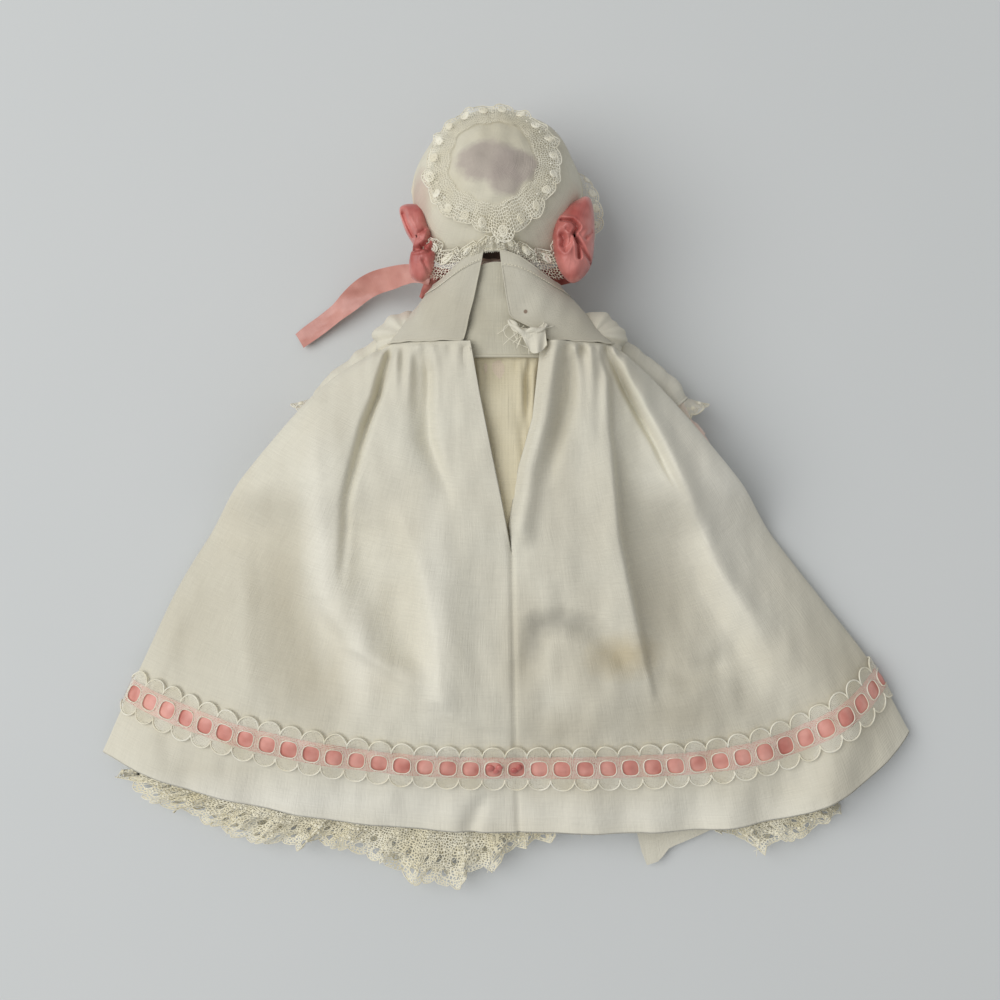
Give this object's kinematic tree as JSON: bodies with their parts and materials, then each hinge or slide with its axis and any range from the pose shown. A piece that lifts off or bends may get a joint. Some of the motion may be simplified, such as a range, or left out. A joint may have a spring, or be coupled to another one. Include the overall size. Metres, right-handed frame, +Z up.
{
  "type": "porcelain baby doll",
  "caption": "Cloth-bodied baby doll with porcelain head, forearms and lower legs, lying face down in a christening gown, slip and ribboned bonnet.",
  "frame": {"origin": "the point on the table, under the middle of the gown, that the gown front rests on", "axes": "+Z up from the table through the back of the doll, +Y towards its head, +X across the skirt to the right as seen from above"},
  "size_m": [0.28, 0.2572, 0.0543],
  "materials": {
    "porcelain": "matt bisque, tinted",
    "eye_glass": "polished",
    "hair": "matt mohair",
    "card": "plain",
    "body_cloth": "plain cotton, stuffed",
    "thread": "twisted thread",
    "gown_cloth": "thin aged cotton lawn",
    "slip_cloth": "thin yellowed cotton lawn",
    "gown_lace": "cotton net lace",
    "slip_lace": "yellowed cotton lace",
    "satin": "pink satin ribbon"
  },
  "bodies": {
    "torso": {"torso": "body_cloth", "neck_tie": "thread", "slip_bodice_back": "slip_cloth", "slip_bodice_front": "slip_cloth", "slip_skirt": "slip_cloth", "slip_lace": "slip_lace", "gown_yoke_back_left": "gown_cloth", "gown_yoke_back_right": "gown_cloth", "gown_yoke_front": "gown_cloth", "gown_skirt": "gown_cloth", "beading_lace": "gown_lace", "beading_ribbon": "satin"},
    "head": {"head": "porcelain", "pate": "card", "wig": "hair", "eye_left": "eye_glass", "eye_right": "eye_glass", "bonnet_crown": "gown_cloth", "bonnet_band": "gown_cloth", "crown_lace": "gown_lace", "nape_lace": "gown_lace", "brim_lace": "gown_lace", "rosette_left": "satin", "rosette_right": "satin", "chin_ribbon": "satin", "ribbon_tail": "satin"},
    "arm_left": {"upper_arm_left": "body_cloth", "forearm_left": "porcelain", "arm_tie_left": "thread", "sleeve_left": "gown_cloth", "cuff_lace_left": "gown_lace"},
    "leg_left": {"thigh_left": "body_cloth", "shin_left": "porcelain", "leg_tie_left": "thread"},
    "arm_right": {"upper_arm_right": "body_cloth", "forearm_right": "porcelain", "arm_tie_right": "thread", "sleeve_right": "gown_cloth", "cuff_lace_right": "gown_lace"},
    "leg_right": {"thigh_right": "body_cloth", "shin_right": "porcelain", "leg_tie_right": "thread"}
  },
  "joints": [
    {"name": "neck_turn", "type": "hinge", "parent": "torso", "child": "head", "pos_m": [-0.001, 0.0605, 0.027], "axis": [0, 1, 0], "range_deg": [-20, 20], "deforming": ["ribbon_tail"]},
    {"name": "shoulder_left", "type": "hinge", "parent": "torso", "child": "arm_left", "pos_m": [-0.0257, 0.057, 0.0165], "axis": [0, 0, -1], "range_deg": [-12, 10]},
    {"name": "shoulder_right", "type": "hinge", "parent": "torso", "child": "arm_right", "pos_m": [0.0257, 0.057, 0.0165], "axis": [0, 0, 1], "range_deg": [-12, 35]},
    {"name": "hip_left", "type": "hinge", "parent": "torso", "child": "leg_left", "pos_m": [-0.0115, -0.0039, 0.015], "axis": [-1, 0, 0], "range_deg": [0, 10]},
    {"name": "hip_right", "type": "hinge", "parent": "torso", "child": "leg_right", "pos_m": [0.0115, -0.0039, 0.015], "axis": [-1, 0, 0], "range_deg": [0, 10]}
  ]
}
